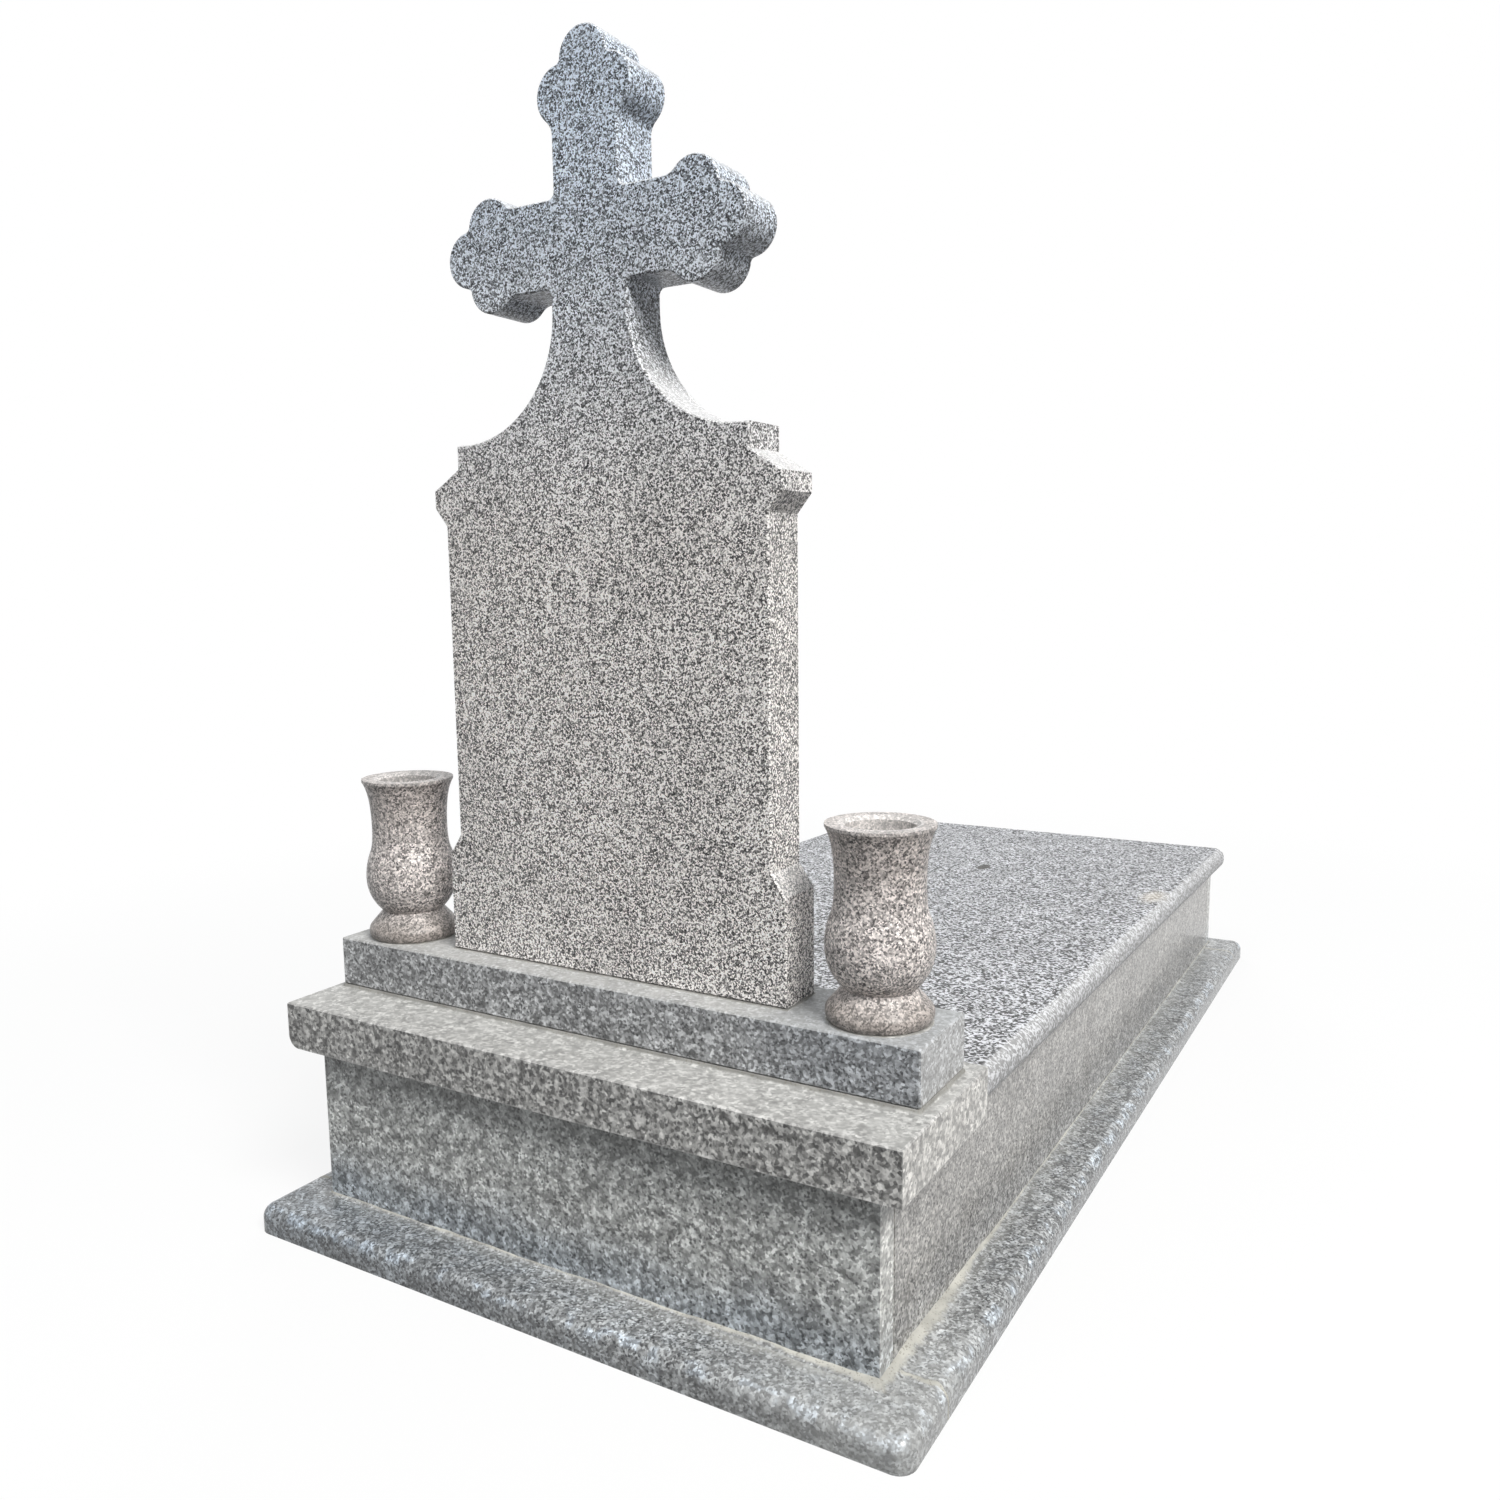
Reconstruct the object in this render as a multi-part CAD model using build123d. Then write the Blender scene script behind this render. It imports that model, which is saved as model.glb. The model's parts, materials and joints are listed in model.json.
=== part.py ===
from build123d import *
from math import asin, degrees
import os

# Granite grave monument: a kerb course, a panelled box, a head slab with a plinth that carries
# an upright stela with a budded cross and two turned vases, and a sloping cover slab.
# Millimetres, +Z up. The origin is on the ground at the middle of the kerb.
# The head end, with the stela, faces -Y, and the foot end faces +Y.

# Kerb course
kerb_length = 2245.0
kerb_width = 1100.0
kerb_height = 42.0
kerb_stone_width = 118.0
kerb_edge_round = 20.0
kerb_corner_round = 24.0
kerb_joint = 4.0

# Panels of the box
panel_head_setback = 87.0
panel_foot_setback = 62.0
panel_side_setback = 75.0
panel_thickness = 40.0
panel_height = 247.0
panel_joint = 3.0
joint_recess = 1.5

# Mortar bead along the foot of the panels
bead_width = 11.0
bead_height = 7.0

# Head slab
head_slab_front_overhang = 31.0
head_slab_side_overhang = 41.0
head_slab_length = 284.0
head_slab_thickness = 72.0
head_slab_worn_round = 20.0

# Cover slab, which falls towards the foot end
slab_joint = 4.0
cover_side_overhang = 29.0
cover_foot_overhang = 35.0
cover_thickness = 50.0
cover_fall = 47.0
cover_edge_round = 22.0
cover_corner_round = 30.0

# Plinth on the head slab
plinth_setback = 98.0
plinth_width = 993.0
plinth_depth = 150.0
plinth_height = 76.0

# Mortar beds under plinth, stela and vases
plinth_bed_height = 6.0
stela_bed_height = 2.0
vase_bed_height = 2.0
bed_inset = 5.0

# Stela, from its foot up to the shoulders
stela_setback = 42.0
stela_thickness = 80.0
foot_width = 584.0
foot_height = 148.0
foot_slope_height = 31.0
body_width = 541.0
body_height = 641.0
undercut_height = 26.0
lip_width = 583.0
lip_height = 25.0
shoulder_slope_height = 29.0
ledge_width = 488.0
ledge_height = 33.0
ledge_flat = 17.0

# Cross on the stela
lower_shaft_width = 124.0
lower_shaft_height = 29.0
upper_shaft_width = 107.0
arm_depth = 115.0
arm_reach = 167.0
top_reach = 185.0
lobe_radius = 38.0
lobe_offset = 38.5
crown_lobe_offset = 41.0
lobe_notch_round = 7.0
lobe_neck_round = 24.0
inner_corner_round = 10.0

# Sawn edges are eased by a narrow arris
arris = 2.0

# Turned vases
vase_inset = 87.0
vase_height = 254.0
vase_foot_radius = 70.5
vase_foot_height = 20.0
vase_foot_swell = 4.0
vase_neck_height = 42.0
vase_belly_radius = 71.0
vase_belly_height = 95.0
vase_turn_radius = 63.0
vase_turn_height = 137.0
vase_turn_slope_share = 0.4
vase_waist_radius = 58.5
vase_waist_height = 176.0
vase_rim_radius = 71.0
vase_rim_height = 4.0
vase_rim_slope_share = 0.65
vase_mouth_radius = 51.0
vase_mouth_ease = 5.0
vase_bore_depth = 180.0

# Levels and places worked out from the sizes
head_face = -kerb_length / 2
foot_face = kerb_length / 2
panel_front = head_face + panel_head_setback
panel_back = foot_face - panel_foot_setback
panel_width = kerb_width - 2 * panel_side_setback
panel_middle = (panel_width - panel_thickness) / 2
panel_top = kerb_height + panel_height
head_slab_front = panel_front - head_slab_front_overhang
head_slab_back = head_slab_front + head_slab_length
head_slab_width = panel_width + 2 * head_slab_side_overhang
head_slab_top = panel_top + head_slab_thickness
cover_front = head_slab_back + slab_joint
cover_back = panel_back + cover_foot_overhang
cover_width = panel_width + 2 * cover_side_overhang
cover_slope = cover_fall / (cover_back - cover_front)
plinth_front = head_slab_front + plinth_setback
plinth_bottom = head_slab_top + plinth_bed_height
plinth_top = plinth_bottom + plinth_height
stela_front = plinth_front + stela_setback
stela_bottom = plinth_top + stela_bed_height
vase_x = plinth_width / 2 - vase_inset
vase_y = plinth_front + plinth_depth / 2
vase_bottom = plinth_top + vase_bed_height


def underside(y):
    """Height of the slabs' underside: level below the head slab, then falling with the cover."""
    return panel_top - cover_slope * max(y - cover_front, 0)


def block(width, depth, height, front, bottom):
    """A block centred across the grave, given its front face and its underside."""
    return Pos(0, front, bottom) * Box(width, depth, height, align=(Align.CENTER, Align.MIN, Align.MIN))


def side_cut(points, thickness, middle):
    """A flat piece cut to an outline seen from the side, centred at one place across."""
    outline = Plane.YZ * make_face(Polyline(*points, close=True))
    return Pos(middle, 0, 0) * extrude(outline, thickness / 2, both=True)


def end_kerb():
    """Kerb stone across the head end, rounded along its outer edge and round both corners."""
    stone = block(kerb_width, kerb_stone_width, kerb_height, head_face, 0)
    stone = fillet(stone.edges().filter_by(Axis.Z).group_by(Axis.Y)[0], kerb_corner_round)
    outer_edges = stone.faces().sort_by(Axis.Z)[-1].edges().sort_by(Axis.Y)[:-1]
    return fillet(outer_edges, min(kerb_edge_round, kerb_corner_round))


def side_kerb(start, length):
    """A run of the right-hand kerb: a flat stone with its outer top edge rounded."""
    section = Pos(kerb_width / 2, 0) * Rectangle(kerb_stone_width, kerb_height, align=(Align.MAX, Align.MIN))
    section = fillet(section.vertices().sort_by(Axis.X)[-2:].sort_by(Axis.Y)[-1:], kerb_edge_round)
    return Pos(0, start, 0) * extrude(Plane.XZ * section, -length)


def side_panel():
    """Right-hand side panel between the end panels, its top following the slabs' underside."""
    start = panel_front + panel_thickness + panel_joint
    end = panel_back - panel_thickness - panel_joint
    points = [
        (start, kerb_height),
        (end, kerb_height),
        (end, underside(end)),
        (cover_front, panel_top),
        (start, panel_top),
    ]
    return side_cut(points, panel_thickness, panel_middle)


def end_strip(start, end, thickness, middle):
    """A piece of the box between two places along the grave, cut to the slabs' underside."""
    points = [(start, kerb_height), (end, kerb_height), (end, underside(end)), (start, underside(start))]
    return side_cut(points, thickness, middle)


def panel_seam(panel_face, inward):
    """Right-hand mortar seam between an end panel and the side panel, set back a little."""
    near = panel_face + inward * panel_thickness
    far = near + inward * panel_joint
    return end_strip(min(near, far), max(near, far), panel_thickness - 2 * joint_recess, panel_middle)


def mortar_beads():
    """Sloped beads round the foot of the panels, mitred at the corners: right side, head, foot."""
    length = panel_back - panel_front
    middle = (panel_front + panel_back) / 2
    seat = Pos(0, middle, kerb_height)
    crest = Pos(0, middle, kerb_height + bead_height)
    outer = seat * Rectangle(panel_width + 2 * bead_width, length + 2 * bead_width)
    ring = loft([outer, crest * Rectangle(panel_width, length)])
    ring -= block(panel_width, length, bead_height, panel_front, kerb_height)
    corner_x = panel_width / 2
    reach_x = corner_x + 2 * bead_width
    near = panel_front - 2 * bead_width
    far = panel_back + 2 * bead_width
    side_plan = [(corner_x, panel_front), (reach_x, near), (reach_x, far), (corner_x, panel_back)]
    head_plan = [(-corner_x, panel_front), (-reach_x, near), (reach_x, near), (corner_x, panel_front)]
    foot_plan = [(-corner_x, panel_back), (-reach_x, far), (reach_x, far), (corner_x, panel_back)]
    ground = Pos(0, 0, kerb_height)
    zones = [ground * make_face(Polyline(*plan, close=True)) for plan in (side_plan, head_plan, foot_plan)]
    return [(ring & extrude(zone, bead_height)).solid() for zone in zones]


def head_slab():
    """Square-edged slab with eased top edges and a worn lower edge on its left."""
    slab = block(head_slab_width, head_slab_length, head_slab_thickness, head_slab_front, panel_top)
    worn_edge = slab.edges().filter_by(Axis.Y).group_by(Axis.Z)[0].sort_by(Axis.X)[0]
    slab = fillet(worn_edge, head_slab_worn_round)
    return chamfer(slab.faces().sort_by(Axis.Z)[-1].edges(), arris)


def cover_slab():
    """Long slab that falls to the foot, with bullnosed edges on its sides and foot end."""
    points = [
        (cover_front, underside(cover_front)),
        (cover_back, underside(cover_back)),
        (cover_back, underside(cover_back) + cover_thickness),
        (cover_front, underside(cover_front) + cover_thickness),
    ]
    slab = side_cut(points, cover_width, 0)
    slab = fillet(slab.edges().filter_by(Axis.Z).group_by(Axis.Y)[-1], cover_corner_round)
    faces = slab.faces().sort_by(Axis.Z)
    rims = faces[-1].edges().sort_by(Axis.Y)[1:] + faces[0].edges().sort_by(Axis.Y)[1:]
    return fillet(rims, min(cover_edge_round, cover_corner_round))


def trefoil(x, z, lobes):
    """Round lobes set about a round core, one at each of the given steps from its middle."""
    return Sketch() + [Pos(x + dx, z + dz) * Circle(lobe_radius) for dx, dz in [(0, 0), *lobes]]


def add_lobes(outline, neck_top, arm_middle, top_middle):
    """Ends both arms and the top of the cross in trefoils and rounds the hollows beside the lobes."""
    left, right = (-lobe_offset, 0), (lobe_offset, 0)
    up, down, crown = (0, lobe_offset), (0, -lobe_offset), (0, crown_lobe_offset)
    outline += trefoil(-arm_reach, arm_middle, (left, up, down))
    outline += trefoil(arm_reach, arm_middle, (right, up, down))
    outline += trefoil(0, top_middle, (left, right, crown))

    cross = [v for v in outline.vertices() if v.Y > neck_top]
    outline = fillet([v for v in cross if abs(v.X) > arm_reach or v.Y > top_middle], lobe_notch_round)
    cross = [v for v in outline.vertices() if v.Y > neck_top]
    behind_arm_lobes = [v for v in cross if arm_reach - lobe_radius < abs(v.X) < arm_reach]
    below_top_lobes = [v for v in cross if top_middle - lobe_radius < v.Y < top_middle]
    return fillet(behind_arm_lobes + below_top_lobes, lobe_neck_round)


def stela_outline():
    """Front outline of the stela: flared foot, body, moulded shoulders, concave neck, budded cross."""
    slope_top = foot_height + foot_slope_height
    lip_bottom = body_height + undercut_height
    lip_top = lip_bottom + lip_height
    step = lip_top + shoulder_slope_height
    ledge = step + ledge_height
    right_side = [
        (foot_width / 2, 0),
        (foot_width / 2, foot_height),
        (body_width / 2, slope_top),
        (body_width / 2, body_height),
        (lip_width / 2, lip_bottom),
        (lip_width / 2, lip_top),
        (ledge_width / 2, step),
        (ledge_width / 2, ledge),
    ]
    left_side = [(-x, z) for x, z in reversed(right_side)]
    outline = make_face(Polyline(*right_side, *left_side, close=True))

    neck_half = ledge_width / 2 - ledge_flat
    neck_radius = neck_half - lower_shaft_width / 2
    neck_top = ledge + neck_radius
    arm_bottom = neck_top + lower_shaft_height
    arm_middle = arm_bottom + arm_depth / 2
    top_middle = arm_middle + top_reach
    on_seat = (Align.CENTER, Align.MIN)
    neck = Pos(0, ledge) * Rectangle(2 * neck_half, neck_radius, align=on_seat)
    neck -= [Pos(side * neck_half, neck_top) * Circle(neck_radius) for side in (-1, 1)]
    outline += neck
    outline += Pos(0, neck_top) * Rectangle(lower_shaft_width, arm_middle - neck_top, align=on_seat)
    outline += Pos(0, arm_middle) * Rectangle(upper_shaft_width, top_reach, align=on_seat)
    outline += Pos(0, arm_bottom) * Rectangle(2 * arm_reach, arm_depth, align=on_seat)

    near_shaft = [v for v in outline.vertices() if abs(v.X) < lower_shaft_width]
    arm_levels = (arm_bottom, arm_bottom + arm_depth)
    corners = [v for v in near_shaft if min(abs(v.Y - z) for z in arm_levels) < inner_corner_round / 2]
    outline = fillet(corners, inner_corner_round)
    return add_lobes(outline, neck_top, arm_middle, top_middle)


def stela():
    """The stela as one slab, the arris eased all round its front and back."""
    slab = extrude(Plane.XZ * stela_outline(), -stela_thickness)
    faces = slab.faces().sort_by(Axis.Y)
    slab = chamfer(faces[0].edges() + faces[-1].edges(), arris)
    return Pos(0, stela_front, stela_bottom) * slab


def vase():
    """A turned vase: ring foot, round belly, slender waist, flared rim and a straight bore."""
    seat_radius = vase_foot_radius - vase_foot_swell
    crest = (vase_foot_radius, vase_foot_height / 2)
    ring = ThreePointArc((seat_radius, 0), crest, (seat_radius, vase_foot_height))
    neck_angle = degrees(asin((vase_belly_height - vase_neck_height) / vase_belly_radius))
    belly = CenterArc((0, vase_belly_height), vase_belly_radius, -neck_angle, neck_angle)
    cove = Line(ring @ 1, belly @ 0)
    closing = vase_turn_height - (vase_belly_radius - vase_turn_radius) / vase_turn_slope_share
    shoulder = Bezier(belly @ 1, (vase_belly_radius, closing), (vase_turn_radius, vase_turn_height))
    opening = vase_turn_height + (vase_turn_radius - vase_waist_radius) / vase_turn_slope_share
    waist = Bezier(shoulder @ 1, (vase_waist_radius, opening), (vase_waist_radius, vase_waist_height))
    rim_bottom = vase_height - vase_rim_height
    spread = rim_bottom - (vase_rim_radius - vase_waist_radius) / vase_rim_slope_share
    flare = Bezier(waist @ 1, (vase_waist_radius, spread), (vase_rim_radius, rim_bottom))

    bore_radius = vase_mouth_radius - vase_mouth_ease
    bore_bottom = vase_height - vase_bore_depth
    inside = Polyline(
        flare @ 1,
        (vase_rim_radius, vase_height),
        (vase_mouth_radius, vase_height),
        (bore_radius, vase_height - vase_mouth_ease),
        (bore_radius, bore_bottom),
        (0, bore_bottom),
        (0, 0),
        ring @ 0,
    )
    profile = make_face([ring, cove, belly, shoulder, waist, flare, inside])
    return revolve(Plane.XZ * profile, Axis.Z)


def mirrored(piece):
    """The left-hand twin of a right-hand piece."""
    return mirror(piece, about=Plane.YZ)


def turned_round(piece):
    """The foot-end twin of a head-end piece."""
    return mirror(piece, about=Plane.XZ)


side_kerb_start = head_face + kerb_stone_width + kerb_joint
right_bead, head_bead, foot_bead = mortar_beads()
head_kerb_seam = side_kerb(side_kerb_start - kerb_joint, kerb_joint)
head_panel_seam = panel_seam(panel_front, 1)
foot_panel_seam = panel_seam(panel_back, -1)
right_vase = Pos(vase_x, vase_y, vase_bottom) * vase()
vase_bed_face = Pos(vase_x, vase_y, plinth_top) * Circle(vase_foot_radius - bed_inset)
right_vase_bed = extrude(vase_bed_face, vase_bed_height)
plinth = block(plinth_width, plinth_depth, plinth_height, plinth_front, plinth_bottom)

nodes = {
    "kerb_head": end_kerb(),
    "kerb_foot": turned_round(end_kerb()),
    "kerb_right": side_kerb(side_kerb_start, -2 * side_kerb_start),
    "kerb_left": mirrored(side_kerb(side_kerb_start, -2 * side_kerb_start)),
    "kerb_seam_head_right": head_kerb_seam,
    "kerb_seam_head_left": mirrored(head_kerb_seam),
    "kerb_seam_foot_right": turned_round(head_kerb_seam),
    "kerb_seam_foot_left": mirrored(turned_round(head_kerb_seam)),
    "panel_head": end_strip(panel_front, panel_front + panel_thickness, panel_width, 0),
    "panel_foot": end_strip(panel_back - panel_thickness, panel_back, panel_width, 0),
    "panel_right": side_panel(),
    "panel_left": mirrored(side_panel()),
    "panel_seam_head_right": head_panel_seam,
    "panel_seam_head_left": mirrored(head_panel_seam),
    "panel_seam_foot_right": foot_panel_seam,
    "panel_seam_foot_left": mirrored(foot_panel_seam),
    "mortar_bead_head": head_bead,
    "mortar_bead_foot": foot_bead,
    "mortar_bead_right": right_bead,
    "mortar_bead_left": mirrored(right_bead),
    "head_slab": head_slab(),
    "slab_seam": block(
        cover_width - 2 * bed_inset,
        slab_joint,
        cover_thickness - bed_inset,
        head_slab_back,
        panel_top,
    ),
    "cover_slab": cover_slab(),
    "plinth_bed": block(
        plinth_width - 2 * bed_inset,
        plinth_depth - 2 * bed_inset,
        plinth_bed_height,
        plinth_front + bed_inset,
        head_slab_top,
    ),
    "plinth": chamfer(plinth.edges(), arris),
    "stela_bed": block(
        foot_width - 2 * bed_inset,
        stela_thickness - 2 * bed_inset,
        stela_bed_height,
        stela_front + bed_inset,
        plinth_top,
    ),
    "stela": stela(),
    "vase_bed_right": right_vase_bed,
    "vase_bed_left": mirrored(right_vase_bed),
    "vase_right": right_vase,
    "vase_left": mirrored(right_vase),
}

os.makedirs("parts", exist_ok=True)
for name, piece in nodes.items():
    export_step(piece, f"parts/{name}.step")
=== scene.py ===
import json
import math

import bpy
import numpy as np
from mathutils import Matrix, Vector


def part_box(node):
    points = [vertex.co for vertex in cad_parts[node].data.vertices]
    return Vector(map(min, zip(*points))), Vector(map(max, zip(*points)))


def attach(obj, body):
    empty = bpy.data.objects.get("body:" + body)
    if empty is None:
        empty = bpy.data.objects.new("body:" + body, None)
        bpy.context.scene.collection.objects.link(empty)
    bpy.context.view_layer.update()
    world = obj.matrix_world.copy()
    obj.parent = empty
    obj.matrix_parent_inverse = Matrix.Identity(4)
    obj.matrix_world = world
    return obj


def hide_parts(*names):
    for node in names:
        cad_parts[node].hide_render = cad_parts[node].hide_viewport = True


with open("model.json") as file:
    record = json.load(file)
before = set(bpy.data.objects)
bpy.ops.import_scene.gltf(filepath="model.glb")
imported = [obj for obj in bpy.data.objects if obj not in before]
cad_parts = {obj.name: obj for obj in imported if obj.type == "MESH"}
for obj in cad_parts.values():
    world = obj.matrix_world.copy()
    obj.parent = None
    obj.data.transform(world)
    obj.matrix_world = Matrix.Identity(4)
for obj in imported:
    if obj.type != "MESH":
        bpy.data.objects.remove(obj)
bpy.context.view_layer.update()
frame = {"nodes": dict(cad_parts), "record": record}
nodes = frame["nodes"]

# Places that the looks start from, in metres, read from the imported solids, and the kerb's edge radius
KERB_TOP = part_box("kerb_head")[1].z
KERB_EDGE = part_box("kerb_right")[1].x
KERB_ROUND = 0.020
PANEL_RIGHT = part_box("panel_right")[1].x
PANEL_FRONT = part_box("panel_head")[0].y
PANEL_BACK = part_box("panel_foot")[1].y
VASE_BOTTOM, VASE_TOP = [c.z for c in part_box("vase_right")]
VASE_MIDDLE = sum(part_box("vase_right"), Vector()) / 2

# Colours that are laid over the stone
# Dust on what faces up, partly painted light on the tops
DUST_AND_TOP_LIGHT = (0.57, 0.567, 0.55)
MICA = (0.030, 0.030, 0.033)
# Edges rubbed pale, partly a painted highlight along them
RUBBED_EDGE_AND_HIGHLIGHT = (0.62, 0.615, 0.60)
# Painted light on what faces up on the stela
PAINTED_TOP_LIGHT = (0.74, 0.74, 0.745)
# Pale dusting on ends cut with a saw, partly painted side light
SAWN_DUST_AND_SIDE_LIGHT = (0.60, 0.59, 0.57)
VASE_FOOT_GRIME = (0.42, 0.40, 0.375)
# A pale ring on a vase's rim, and painted light inside its bore
VASE_RIM_AND_BORE_LIGHT = (0.68, 0.665, 0.65)
CEMENT_FILM = (0.51, 0.505, 0.468)
CORNER_DUST = (0.54, 0.545, 0.535)
# Painted highlight on the cover's round edge
COVER_EDGE_HIGHLIGHT = (0.72, 0.72, 0.725)
CREAM_STAIN = (0.78, 0.70, 0.58)
DARK_SPECK = (0.07, 0.065, 0.06)
MORTAR_SAND = (0.16, 0.14, 0.11)

# Colours that the stone is multiplied by
# Painted cool sky light on the stela's cross
PAINTED_SKY_TINT = (0.75, 0.87, 1.02)
# Painted shade on the stela's undersides
PAINTED_UNDERSIDE_SHADE = (0.82, 0.81, 0.80)
# Darker and bluish towards a panel's foot
BLUISH_DARK_FOOT = (0.70, 0.76, 0.86)
# Ends cut with a saw made brighter, partly painted side light
SAWN_AND_SIDE_LIGHT = (1.50, 1.48, 1.45)
PANEL_STREAK = (0.78, 0.765, 0.75)
PLINTH_SHADE = (0.68, 0.73, 0.80)
# Grime on a vase's foot, and painted shade below its flare
VASE_GRIME_AND_SHADE = (0.62, 0.595, 0.575)
# Pale patches on the kerb, on its round edge mostly a painted sky reflection
KERB_PATCH_AND_SKY_REFLECTION = (1.50, 1.59, 1.71)
KERB_SHADE = (0.70, 0.725, 0.755)


class Socket:
    """One socket of a shader tree: arithmetic on it adds Math nodes."""

    def __init__(self, tree, socket=None):
        self.tree = tree
        self.socket = socket

    def node(self, kind, settings=None, inputs=None, output=0):
        """Adds a node of any type: its settings first, then the values or links of its sockets."""
        made = self.tree.nodes.new(kind)
        for key, value in (settings or {}).items():
            if key == "stops":
                ramp = made.color_ramp
                while len(ramp.elements) < len(value):
                    ramp.elements.new(1.0)
                for element, (place, colour) in zip(ramp.elements, value):
                    element.position = place
                    element.color = (*colour, 1.0)
            else:
                setattr(made, key, value)
        for key, value in (inputs or {}).items():
            if isinstance(value, Socket):
                self.tree.links.new(value.socket, made.inputs[key])
            else:
                made.inputs[key].default_value = value
        return Socket(self.tree, made.outputs[output] if made.outputs else None)

    def math(self, operation, first, second):
        """One Math node."""
        return self.node("ShaderNodeMath", {"operation": operation}, {0: first, 1: second})

    def __add__(self, other):
        return self.math("ADD", self, other)

    def __sub__(self, other):
        return self.math("SUBTRACT", self, other)

    def __rsub__(self, other):
        return self.math("SUBTRACT", other, self)

    def __mul__(self, other):
        return self.math("MULTIPLY", self, other)

    __radd__ = __add__
    __rmul__ = __mul__


def noise(at, scale, detail=2.0, output=0):
    """Smooth noise, about 0.5 in the middle."""
    return at.node("ShaderNodeTexNoise", {}, {"Vector": at, "Scale": scale, "Detail": detail}, output)


def grains(at, size, channel):
    """A random number from 0 to 1 for each mineral grain of that size."""
    cells = at.node("ShaderNodeTexVoronoi", {}, {"Vector": at, "Scale": 1.0 / size}, "Color")
    return at.node("ShaderNodeSeparateColor", {}, {"Color": cells}, channel)


def between(value, low, high):
    """0 below low, 1 above high and a smooth rise between them."""
    inputs = {"Value": value, "From Min": low, "From Max": high}
    return value.node("ShaderNodeMapRange", {"interpolation_type": "SMOOTHSTEP"}, inputs)


def blend(share, first, second, kind="MIX"):
    """A colour mixed from two, as far as share says."""
    settings = {"data_type": "RGBA", "blend_type": kind}
    linked = next(v for v in (share, first, second) if isinstance(v, Socket))
    first, second = [c if isinstance(c, Socket) else (*c, 1.0) for c in (first, second)]
    return linked.node("ShaderNodeMix", settings, {0: share, 6: first, 7: second}, 2)


def stained(share, colour, stain):
    """The colour multiplied by the stain's, as far as share says."""
    return blend(share, colour, stain, "MULTIPLY")


def tinted(shade, tint):
    """The stone's tint, made lighter and darker by shade."""
    red, green, blue = [shade * c for c in tint]
    return shade.node("ShaderNodeCombineColor", {}, {0: red, 1: green, 2: blue})


def grey(value):
    """A grey, or a vector with three equal numbers."""
    return (value, value, value)


def part_of(vector, letter):
    """One of a vector's three numbers."""
    return vector.node("ShaderNodeSeparateXYZ", {}, {"Vector": vector}, letter)


def size_of(value):
    """A number without its sign."""
    return value.math("ABSOLUTE", value, 0.0)


def apart(at, place):
    """The distance from a place."""
    return at.node("ShaderNodeVectorMath", {"operation": "DISTANCE"}, {0: at, 1: place}, "Value")


def stretched(at, factors):
    """Coordinates multiplied along each axis: a small factor draws a pattern on them out."""
    return at.node("ShaderNodeVectorMath", {"operation": "MULTIPLY"}, {0: at, 1: factors})


def new_finish(name):
    """An empty material, its Object coordinates and its shader."""
    material = bpy.data.materials.new(name)
    material.use_nodes = True
    tree = material.node_tree
    at = Socket(tree).node("ShaderNodeTexCoord", output="Object")
    return material, at, tree.nodes["Principled BSDF"]


def feed(shader, name, value):
    """Links a value to one of the shader's sockets."""
    value.tree.links.new(value.socket, shader.inputs[name])


def speckle(at, minerals, mica, grain, mottle, soft, tint, places=(0.0, 0.32, 0.62, 1.0)):
    """The colour of granite, and where its black mica lies.

    Each small grain gets a drawn tone, mixed with a soft mottle, and the tone picks the mineral, from
    grey quartz to white feldspar. Black mica flecks lie over them in loose crowds, and wide clouds make
    the stone lighter and darker.
    """
    stir = noise(at, 0.7 / grain, 2.0, "Color")
    settings = {"operation": "MULTIPLY_ADD"}
    warped = at.node("ShaderNodeVectorMath", settings, {0: stir, 1: grey(0.5 * grain), 2: at})
    drawn = grains(warped, grain, "Red")
    mild = between(noise(at, 0.5 / mottle, 3.0), 0.30, 0.70)
    tone = drawn * (1 - soft) + mild * soft
    stops = [(place, grey(mineral)) for place, mineral in zip(places, minerals)]
    colour = at.node("ShaderNodeValToRGB", {"stops": stops}, {0: tone})
    fleck = grains(warped, 0.85 * grain, "Green")
    crowd = between(noise(at, 0.16 / grain, 2.0), 0.25, 0.55)
    flecks = (1 - between(fleck, mica - 0.05, mica + 0.05)) * crowd
    colour = blend(flecks * (1 - 0.6 * soft), colour, MICA)
    shade = 0.76 + noise(at, 7.0, 4.0) * 0.48
    return stained(1.0, colour, tinted(shade, tint)), flecks


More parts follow.
